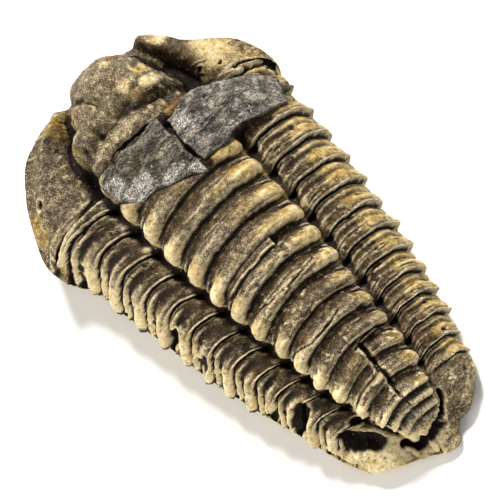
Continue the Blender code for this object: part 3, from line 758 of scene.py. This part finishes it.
def ochre_mask(f, z):
    toward_tail = ramp(-4, -16, f.y)
    ends = z.middle * (z.whole * z.knobs + z.crest * (1 - z.knobs) * 0.15)
    ochre = ends * (1 - 0.35 * toward_tail)
    ochre += z.middle * z.crest * 0.55 * ramp(0, 0.6, f.axis) * (1 - toward_tail)
    front_band = hump(f.part, RIB_FRONT, 0.1) * f.ribbed
    outer_right = ramp(0.25, 0.6, f.out) * (1 - f.left)
    ochre += z.side * (outer_right * (1.1 * z.crest + 1.1 * front_band))
    ochre += z.side * f.left * 0.5 * ramp(0.45, 0.75, f.out)
    return ochre + (spot_mask(f, "ochre") + 0.45 * rough(f, 2.2, 111) * f.back - 0.35 * f.peeled)


def cream_mask(f, z):
    cream = 1.1 * f.porous + spot_mask(f, "cream") + 0.7 * pit_rims(f) + 0.6 * shell_shelf(f)[1]
    cream += 0.2 * z.middle * z.knobs * z.crest * fade(-4, -16, f.y)
    cream += 0.4 * z.middle * z.whole * ramp(0.45, 0.8, -f.axis)
    cream += 0.6 * z.middle * z.crest * ramp(0.5, 0.8, -f.axis) * ramp(-12, -18, f.y)
    return cream + 0.5 * z.middle * z.crest * ramp(0, 0.6, -f.axis) * ramp(-23, -26, f.y)


def dark_mask(f, z):
    # Dark on the inner flanks: partly stain, partly painted shade.
    dark = z.side * np.where(f.left, 1.1, 0.9) * fade(0.4, 0.75, f.out)
    ends = ramp(0.2, 0.7, np.maximum(f.wide, -f.axis * 1.3))
    # Painted shadow of the ring in front, on each ring's low front band.
    dark += z.middle * fade(0.12, 0.44, f.part) * (0.55 + 0.35 * ends)
    clouds = ramp(0, 0.5, rough(f, 5, 115, 3))
    dark += z.middle * (0.08 + 0.35 * clouds) * (1 - z.knobs)
    # Painted shade in each rib's furrow between its two bands.
    between = np.where(f.left, 0.8, 0.15) * z.side * hump(f.part, 0.36, 0.09)
    dark += between * f.ribbed + spot_mask(f, "dark")
    dark += 0.15 * f.peeled
    light = (1 - 0.55 * ramp(-24, -27, f.y)) * (1 - 0.6 * f.porous * ramp(-18, -24, f.y))
    return dark * light


def body_masks(f, height, push):
    """Masks of the stone: ochre, pale, rust and dark tones, the dark partly painted shade; painted shade in
    hollows and gaps; a painted highlight along raised edges and lips.
    """
    z = zones(f)
    # Hollow mask: painted shade in creases, deep hollows, pits and cracks, in the gaps around and between
    # the flakes, and on the left flank's inner half.
    hollow = np.clip((blurred(push, 4) - push) / 0.3, 0, 1)
    hollow = np.maximum(hollow, np.clip((blurred(height, 9) - height - 0.25) / 0.9, 0, 1))
    hollow *= (1 - 0.15 * z.middle) * (1 - 0.6 * ramp(-27, -29, f.y) * ramp(0, 0.1, f.out))
    hollow = np.maximum(hollow, np.clip(-pit_relief(f) / 0.9 - 0.3, 0, 1))
    # Painted shadow beside the flakes, and black painted shade in the gap between them.
    beside = [depth_inside(f.x, f.y, corners) for corners in (LEFT_FLAKE, RIGHT_FLAKE)]
    gap = ramp(-1.5, -0.4, beside[0]) * ramp(-1.5, -0.4, beside[1])
    hollow = np.maximum(hollow, np.maximum(gap, 0.35 * ramp(-0.6, -0.2, np.maximum(*beside))))
    # Painted shade on the inner half of the left flank.
    hollow = np.clip(hollow + 0.3 * z.side * f.left * fade(0.35, 0.7, f.out), 0, 1)
    # Edge mask: a painted highlight along raised edges, kept off next to the flakes, and along the ribs'
    # lips.
    edge = np.clip((push - blurred(push, 2)) / 0.1 - 0.25, 0, 1) * 0.7
    edge *= fade(-1, -0.4, np.maximum(*beside))
    lips = 1.8 * f.back * hump(f.part, LIP_HIGHLIGHT, 0.036) * ramp(0, 0.08, f.out) * fade(0.6, 0.9, f.out)
    edge = np.maximum(edge, lips * np.where(f.left, 1, 0.4))
    return {"ochre": ochre_mask(f, z), "cream": cream_mask(f, z), "dark": dark_mask(f, z),
            "hollow": hollow, "edge": edge, "rust": spot_mask(f, "rust")}


def down_the_sides(masks, rim):
    """The masks continued below the rim, where most stains fade."""
    keep = [share ** STAIN_FADE for share, outset in SKIRT] + [0] * len(UNDERSIDE)
    numbers, keep = np.tile(rim, len(keep)), np.repeat(keep, len(rim))
    full = {}
    for name, values in masks.items():
        flat, plain = values.reshape(-1), SIDE_STAIN.get(name, 0)
        below = np.append(flat[numbers] * keep + plain * (1 - keep), plain)
        # The painted highlight and painted shade are left off the sides.
        if name in ("edge", "hollow"):
            below[:] = 0
        full[name] = np.append(flat, below)
    return full


def make_body():
    f = survey(*plan())
    grid, push = surface(f)
    number = np.arange(f.x.size).reshape(f.x.shape)
    rim = np.concatenate([number[0, :0:-1], number[:-1, 0], number[-1, :-1], number[:0:-1, -1]])
    top = grid.reshape(-1, 3)
    corners = [number[:-1, :-1], number[1:, :-1], number[1:, 1:], number[:-1, 1:]]
    faces = np.stack(corners, axis=-1).reshape(-1, 4).tolist()
    points, faces = closed_below(top, faces, rim, *below_rim(top[rim]))
    masks = down_the_sides(body_masks(f, grid[..., 2], push), rim)
    return new_mesh("stone_body", points, faces, masks)


# ---- the flakes' meshes

FLAKE_SPACING = 0.16
PLATE_STEP = 0.18
FLAKE_SHARES = 1 - np.linspace(0, 1, 58, endpoint=False) ** 1.25
# Loops down a flake's broken side: (share of its thickness, outset).
EDGE_START = 0.04
EDGE_LAYERS = ((0.2, -0.02), (0.28, 0.1), (0.5, 0.05), (0.58, 0.16), (0.85, 0.06), (1, -0.1))
# Pale dust on the flakes: (x, y, half x, half y, strength).
LEFT_DUST = (
    (2.6, 11.6, 1.7, 1.3, 1), (-4.6, 15, 3.4, 1.7, 0.95), (0.2, 13, 2.8, 1, 0.9), (-6.4, 17.3, 2, 2.3, 0.8))
RIGHT_DUST = (
    (5.6, 17, 1.6, 2.4, 0.8), (13.6, 14.6, 0.9, 1.6, 0.5), (9.5, 12.6, 4, 0.9, 0.4),
    (12.5, 18.2, 2.5, 0.7, 0.6))


def flake_outline(corners, seed):
    """A jagged closed line through the corners."""
    corner = np.array(corners)
    line = []
    for start, end in zip(corner, np.roll(corner, -1, axis=0)):
        steps = max(1, round(np.hypot(*(end - start)) / FLAKE_SPACING))
        line += [start + (end - start) * i / steps for i in range(steps)]
    line = np.array(line)
    jag = 0.5 * layered(*line.T, 1.9, seed, 6) - 0.05
    return line + outward_of(line) * jag[:, None]


def cleavage(x, y, seed):
    """Counts the slate's thin plates: a whole number at each plate's edge."""
    return layered(x * 0.7, y * 1.3, 2.6, seed, 5) * 4.5


def flake_relief(x, y, inside, seed):
    """Flat plates at a few levels, chipped near the edge."""
    plates = cleavage(x, y, seed)
    level = np.floor(plates) + ramp(0, 0.13, plates - np.floor(plates))
    chips = ramp(0, 0.4, layered(x, y, 1.4, seed + 7, 3)) * fade(0.35, 0.9, inside)
    bevel = 0.22 * (1 - np.clip(inside / 0.22, 0, 1)) ** 2
    grain = 0.035 * layered(x, y, 0.5, seed + 9, 3) + 0.09 * layered(x, y, 2.6, seed + 11, 3)
    return PLATE_STEP * level - 0.28 * chips - bevel + grain


def flake_loops(rim, line, centre, heights, seed):
    """Loops of points down a flake's side and under it, and a middle."""
    outward = smoothed(outward_of(line), 3)
    loops = []
    for share, outset in EDGE_LAYERS:
        loop = rim.copy()
        wander = 0.1 * layered(line[:, 0] + share * 9, line[:, 1], 0.9, seed + 21, 3)
        loop[:, :2] += outward * (outset - EDGE_START + wander)[:, None]
        lowest = flake_top(*loop[:, :2].T, heights) - FLAKE_THICKNESS
        loop[:, 2] = rim[:, 2] + (lowest - rim[:, 2]) * share
        loops.append(loop)
    edge = loops[-1][:, :2]
    for share in UNDERSIDE:
        x, y = (centre + (edge - centre) * share).T
        loops.append(np.stack([x, y, flake_top(x, y, heights) - FLAKE_THICKNESS], axis=1))
    return loops, (*centre, flake_top(*centre, heights) - FLAKE_THICKNESS)


def flake_masks(points, inside, dust_spots, seed):
    """Where a flake is dusty or worn, with painted shade on its broken sides and at the foot of each plate's
    step, and a painted highlight just past each step.
    """
    x, y = points[:, :2].T
    dust = blots(x, y, dust_spots, 0.4 * layered(x, y, 1.2, seed + 31), 1.2)
    on_top = (np.arange(len(points)) < len(inside)).astype(float)
    worn = np.zeros(len(points))
    worn[:len(inside)] = fade(0, 0.45, inside)
    plate = cleavage(x, y, seed) % 1
    # Just past each plate's step a painted highlight (lit), added to the outer edge's wear in the rim mask;
    # just before each step, painted shade at its foot.
    lit = on_top * ramp(0.04, 0.12, plate) * fade(0.16, 0.34, plate)
    # side: painted shade on the flakes' broken sides.
    return {"dust": dust, "side": 1 - on_top, "rim": np.maximum(worn, 0.9 * lit),
            "painted_step_shade": on_top * ramp(0.8, 0.97, plate)}


def make_flake(name, corners, heights, dust_spots, seed):
    line = flake_outline(corners, seed)
    centre, size = line.mean(axis=0), len(line)
    x, y = np.concatenate([centre + (line - centre) * share for share in FLAKE_SHARES] + [[centre]]).T
    inside = depth_inside(x, y, [*line])
    inside[:size] = 0
    top = np.stack([x, y, flake_top(x, y, heights) + flake_relief(x, y, inside, seed)], axis=1)
    inner, faces = np.arange(size), []
    for n in range(1, len(FLAKE_SHARES)):
        outer, inner = inner, inner + size
        faces += np.stack([outer, np.roll(outer, -1), np.roll(inner, -1), inner], axis=1).tolist()
    faces += [(int(a), int(b), len(top) - 1) for a, b in zip(inner, np.roll(inner, -1))]
    loops = flake_loops(top[:size], line, centre, heights, seed)
    points, faces = closed_below(top, faces, np.arange(size), *loops)
    return new_mesh(name, points, faces, flake_masks(points, inside, dust_spots, seed))


# ---- materials

# Colours from 0 to 255, from the darkest to the lightest.
STONE_PLACES = (0.34, 0.46, 0.54, 0.66)
STONE_GREYS = ((60, 50, 38), (108, 96, 78), (132, 119, 99), (186, 174, 150))
STONE_OCHRES = ((106, 84, 42), (166, 141, 78), (192, 167, 98), (226, 207, 148))
STONE_CREAMS = ((204, 180, 126), (236, 220, 174), (254, 246, 218))
STONE_DARKS = ((40, 27, 12), (80, 62, 36), (130, 108, 72))
STONE_RUSTS = ((92, 58, 34), (168, 116, 68))
SLATE_PALES = ((122, 117, 108), (188, 183, 173), (246, 244, 238))
# Slates: four shades, then a tint in patches.
BROWN_SLATE = (((62, 55, 46), (108, 99, 86), (136, 127, 112), (178, 169, 152)), (104, 90, 68))
BLUE_SLATE = (((52, 49, 45), (122, 116, 107), (163, 156, 145), (212, 204, 192)), (106, 104, 100))


def linear(colour):
    """An sRGB colour from 0 to 255 as a shader's linear one."""
    share = np.array(colour) / 255
    value = np.where(share < 0.04045, share / 12.92, ((share + 0.055) / 1.055) ** 2.4)
    return (*[float(v) for v in value], 1)


class Nodes:
    """Builds one material, with its colours laid over each other."""

    def __init__(self, name, roughness, specular):
        self.colour = None
        self.material = bpy.data.materials.new(name)
        self.material.use_nodes = True
        self.tree = self.material.node_tree
        self.shader = self.tree.nodes["Principled BSDF"]
        self.set(self.shader, {"Roughness": roughness, "Specular IOR Level": specular})
        place = self.add("TexCoord", {}, "Object")
        self.place = self.add("VectorMath", {0: place, "Scale": 1 / MM}, operation="SCALE")

    def set(self, node, inputs):
        """Links each input to a socket or gives it a value."""
        for key, value in inputs.items():
            if isinstance(value, bpy.types.NodeSocket):
                self.tree.links.new(value, node.inputs[key])
            else:
                node.inputs[key].default_value = value

    def add(self, kind, inputs, output=0, **settings):
        """Adds a node and returns one of its outputs."""
        node = self.tree.nodes.new("ShaderNode" + kind)
        for key, value in settings.items():
            setattr(node, key, value)
        self.set(node, inputs)
        return node.outputs[output]

    def mask(self, name):
        return self.add("Attribute", {}, "Fac", attribute_name=name)

    def noise(self, size, detail, roughness, stretch=None):
        """Noise from 0 to 1 with bumps of the given size in millimetres."""
        inputs = {"Vector": self.place, "Scale": 1 / size, "Detail": detail, "Roughness": roughness}
        if stretch:
            pull = {0: self.place, 1: stretch}
            inputs["Vector"] = self.add("VectorMath", pull, operation="MULTIPLY")
        return self.add("TexNoise", inputs, "Fac")

    def cell_edges(self, size):
        """The distance to the nearest edge between random cells."""
        inputs = {"Vector": self.place, "Scale": 1 / size}
        return self.add("TexVoronoi", inputs, "Distance", feature="DISTANCE_TO_EDGE")

    def between(self, value, low, high):
        """0 where the value is low, 1 where it is high."""
        inputs = {"Value": value, "From Min": low, "From Max": high}
        return self.add("MapRange", inputs, "Result", interpolation_type="SMOOTHSTEP")

    def sum_of(self, a, b, operation="ADD", clamp=False):
        return self.add("Math", {0: a, 1: b}, operation=operation, use_clamp=clamp)

    def times(self, a, b):
        return self.sum_of(a, b, "MULTIPLY")

    def uneven(self, value, noise, strength, clamp=False):
        """A value with a noise's rises and falls added to it."""
        return self.sum_of(value, self.times(self.sum_of(noise, -0.5), strength), clamp=clamp)

    def ramp_of(self, value, places, colours):
        """Colours along a value, each at its own place."""
        shade = self.add("ValToRGB", {"Fac": value}, "Color")
        points = shade.node.color_ramp.elements
        while len(points) < len(places):
            points.new(0.5)
        for point, place, colour in zip(points, places, colours):
            point.position = place
            point.color = linear(colour)
        return shade

    def lay(self, amount, colour, blend="MIX"):
        """Lays a colour over the material's colour so far."""
        inputs = {0: amount, 6: self.colour, 7: colour}
        self.colour = self.add("Mix", inputs, 2, data_type="RGBA", blend_type=blend)

    def tint(self, amount, *colour):
        self.lay(amount, linear(colour))

    def shade(self, amount, value, places, greys):
        """Makes the colour darker and lighter along a value, by greys."""
        self.lay(amount, self.ramp_of(value, places, [(grey,) * 3 for grey in greys]), "SOFT_LIGHT")

    def bump(self, height, distance, strength, under=None):
        inputs = {"Height": height, "Distance": distance * MM, "Strength": strength}
        if under:
            inputs["Normal"] = under
        return self.add("Bump", inputs, "Normal")

    def finish(self, roughness, normal):
        self.set(self.shader, {"Base Color": self.colour, "Roughness": roughness, "Normal": normal})
        return self.material


def stone_material():
    """Grey-brown stone with ochre crests, a painted cream highlight on its edges and painted shade in its
    hollows.
    """
    n = Nodes("fossil_stone", 0.72, 0.22)
    patch = n.noise(3.5, 5, 0.62)
    mottle = n.noise(0.7, 8, 0.78)
    grain = n.noise(0.19, 2, 0.6)
    streak = n.noise(1.4, 5, 0.7, (0.35, 2.2, 1))
    shade = n.noise(1.5, 4, 0.6)
    n.colour = n.ramp_of(mottle, STONE_PLACES, STONE_GREYS)
    ochre = n.uneven(n.uneven(n.mask("ochre"), patch, 1.2, True), grain, 0.25, True)
    n.lay(ochre, n.ramp_of(mottle, STONE_PLACES, STONE_OCHRES))
    # Dark stains and painted shade, from the dark mask.
    dark = n.between(n.uneven(n.mask("dark"), streak, 1.2, True), 0.1, 0.9)
    n.lay(dark, n.ramp_of(mottle, (0.34, 0.5, 0.66), STONE_DARKS))
    cream = n.times(n.mask("cream"), n.between(mottle, 0.24, 0.47))
    n.lay(cream, n.ramp_of(mottle, (0.34, 0.48, 0.62), STONE_CREAMS))
    rust = n.times(n.between(n.noise(2.2, 4, 0.6), 0.6, 0.72), 0.3)
    rust = n.sum_of(rust, n.times(n.mask("rust"), n.between(mottle, 0.35, 0.55)), clamp=True)
    n.lay(rust, n.ramp_of(mottle, (0.4, 0.6), STONE_RUSTS))
    # Painted cream highlight from the edge mask.
    edge = n.times(n.mask("edge"), n.between(n.noise(0.5, 3, 0.6), 0.22, 0.5))
    n.tint(edge, 240, 228, 196)
    # Painted shade, near black, from the hollow mask.
    hollow = n.between(n.uneven(n.mask("hollow"), grain, 0.5), 0.12, 0.75)
    n.tint(hollow, 34, 20, 5)
    n.shade(0.7, shade, (0.36, 0.5, 0.64), (84, 134, 200))
    grit = n.sum_of(0.9, n.times(ochre, 0.55), "SUBTRACT")
    n.shade(grit, grain, (0.37, 0.5, 0.63), (40, 143, 242))
    crack = n.between(n.cell_edges(2.6), 0.022, 0.004)
    crack = n.times(crack, n.between(n.noise(1.8, 3, 0.6), 0.52, 0.6))
    n.tint(n.times(crack, 0.75), 40, 32, 24)
    pocks = n.times(n.between(n.noise(0.32, 2, 0.5), 0.33, 0.26), n.between(shade, 0.42, 0.56))
    n.tint(n.times(pocks, 0.8), 30, 21, 12)
    specks = n.times(n.between(n.noise(0.28, 2, 0.5), 0.68, 0.76), n.between(patch, 0.42, 0.56))
    n.tint(n.times(specks, 0.8), 235, 228, 205)
    normal = n.bump(grain, 0.09, 0.9, n.bump(mottle, 0.24, 0.6))
    return n.finish(n.sum_of(n.times(mottle, 0.35), 0.52), normal)


def slate_material(name, shades, tint):
    """Dull cleaved slate with pale scuffs and fine cracks, a painted highlight past each plate's step, and
    painted shade at each step's foot and on the broken sides.
    """
    n = Nodes(name, 0.6, 0.4)
    mottle = n.noise(1.6, 7, 0.66, (0.7, 1.3, 1))
    grain = n.noise(0.18, 2, 0.6)
    patch = n.noise(3, 5, 0.6)
    streak = n.noise(0.7, 7, 0.8, (0.3, 1.9, 1))
    scuff = n.noise(0.9, 6, 0.7, (0.6, 1.8, 1))
    pale = n.ramp_of(grain, (0.34, 0.5, 0.64), SLATE_PALES)
    n.colour = n.ramp_of(mottle, (0.39, 0.47, 0.53, 0.61), shades)
    n.shade(1, streak, (0.38, 0.5, 0.62), (60, 136, 204))
    n.tint(n.times(n.between(patch, 0.45, 0.7), 0.6), *tint)
    dust = n.uneven(n.mask("dust"), scuff, 3)
    n.lay(n.between(dust, 0.3, 1), pale)
    # Pale wear at the outer edge, with a painted highlight past each plate's step.
    worn = n.times(n.mask("rim"), n.between(streak, 0.42, 0.56))
    n.lay(n.times(worn, 0.6), pale)
    crack = n.between(n.cell_edges(2.1), 0.03, 0)
    broken = n.between(n.noise(2, 3, 0.5), 0.46, 0.56)
    n.tint(n.times(n.times(crack, broken), 0.8), 30, 27, 25)
    level = n.sum_of(n.noise(3, 6, 0.6), -0.5)
    vein = n.times(n.between(level, 0, 0.012), n.between(level, 0.022, 0.01))
    n.tint(n.times(vein, 0.6), 196, 190, 178)
    # Painted shade on the flake's broken sides.
    n.tint(n.times(n.mask("side"), 0.45), 60, 52, 42)
    # Painted shade at the foot of each plate's step.
    n.tint(n.times(n.mask("painted_step_shade"), 0.75), 30, 27, 23)
    n.shade(0.85, grain, (0.34, 0.5, 0.66), (40, 144, 228))
    coarse = n.bump(streak, 0.55, 0.9, n.bump(mottle, 0.35, 0.8))
    normal = n.bump(grain, 0.09, 0.9, coarse)
    return n.finish(n.sum_of(n.times(mottle, 0.35), 0.42), normal)


# ---- camera, floor and light

CAMERA_AIM = Vector((0.53, 1.45, 8)) * MM
TO_CAMERA = Vector((0.035, -0.22, 0.975)).normalized()
CAMERA_DISTANCE = 0.5
VIEW_WIDTH = 0.0625
SENSOR = 36
WARM_WHITE = (1, 0.955, 0.87)
# Suns: strength, spread in degrees.
KEY_SUN = (4.65, 12)
FILL_SUN = (1.6, 50)
STUDIO_LIGHT = 0.42
FLOOR_HALF = 1.5
FLOOR_LEVEL = -0.00002
FLOOR_WHITE = (0.97, 0.97, 0.97, 1)


def view_axes():
    """The picture's right and up, turned so that the head points up and left."""
    side = (Vector((1, 0, 0)) - TO_CAMERA * TO_CAMERA.x).normalized()
    tailward = side.cross(TO_CAMERA)
    return (side + tailward).normalized(), (side - tailward).normalized()


def placed(name, data):
    """A new object in the scene."""
    thing = bpy.data.objects.new(name, data)
    bpy.context.scene.collection.objects.link(thing)
    return thing


def add_camera():
    right, up = view_axes()
    lens = bpy.data.cameras.new("camera")
    lens.sensor_width = SENSOR
    lens.lens = SENSOR * CAMERA_DISTANCE / VIEW_WIDTH
    lens.clip_start = 0.01
    camera = placed("camera", lens)
    place = Matrix((right, up, TO_CAMERA)).transposed().to_4x4()
    place.translation = CAMERA_AIM + TO_CAMERA * CAMERA_DISTANCE
    camera.matrix_world = place
    bpy.context.scene.camera = camera


def add_sun(name, direction, strength, spread):
    lamp = bpy.data.lights.new(name, "SUN")
    lamp.energy = strength
    lamp.color = WARM_WHITE
    lamp.angle = math.radians(spread)
    sun = placed(name, lamp)
    sun.rotation_mode = "QUATERNION"
    sun.rotation_quaternion = direction.normalized().to_track_quat("Z", "Y")


def add_light():
    right, up = view_axes()
    add_sun("key_light", up * 0.85 - right * 0.35 + TO_CAMERA * 0.65, *KEY_SUN)
    add_sun("fill_light", TO_CAMERA * 0.5 - right * 0.75 - up * 0.55, *FILL_SUN)
    world = bpy.data.worlds.new("studio")
    world.use_nodes = True
    background = world.node_tree.nodes["Background"]
    background.inputs["Color"].default_value = (1, 1, 1, 1)
    background.inputs["Strength"].default_value = STUDIO_LIGHT
    bpy.context.scene.world = world
    bpy.context.scene.view_settings.view_transform = "Standard"


def add_floor():
    mesh = bpy.data.meshes.new("floor")
    corners = [(-1, -1), (1, -1), (1, 1), (-1, 1)]
    mesh.from_pydata([(x * FLOOR_HALF, y * FLOOR_HALF, FLOOR_LEVEL) for x, y in corners], [],
                     [(0, 1, 2, 3)])
    floor = placed("floor", mesh)
    n = Nodes("floor_white", 0.9, 0.1)
    n.set(n.shader, {"Base Color": FLOOR_WHITE})
    mesh.materials.append(n.material)


# ---- the scene

def add_piece(mesh, stone, node):
    mesh.materials.append(stone)
    piece = placed(mesh.name, mesh)
    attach(piece, "root")
    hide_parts(node)


def main():
    add_camera()
    add_light()
    add_floor()
    add_piece(make_body(), stone_material(), "fossil_body")
    add_piece(make_flake("left_flake", LEFT_FLAKE, LEFT_FLAKE_TOP, LEFT_DUST, 201),
              slate_material("brown_slate", *BROWN_SLATE), "left_slate_flake")
    add_piece(make_flake("right_flake", RIGHT_FLAKE, RIGHT_FLAKE_TOP, RIGHT_DUST, 301),
              slate_material("blue_slate", *BLUE_SLATE), "right_slate_flake")


main()
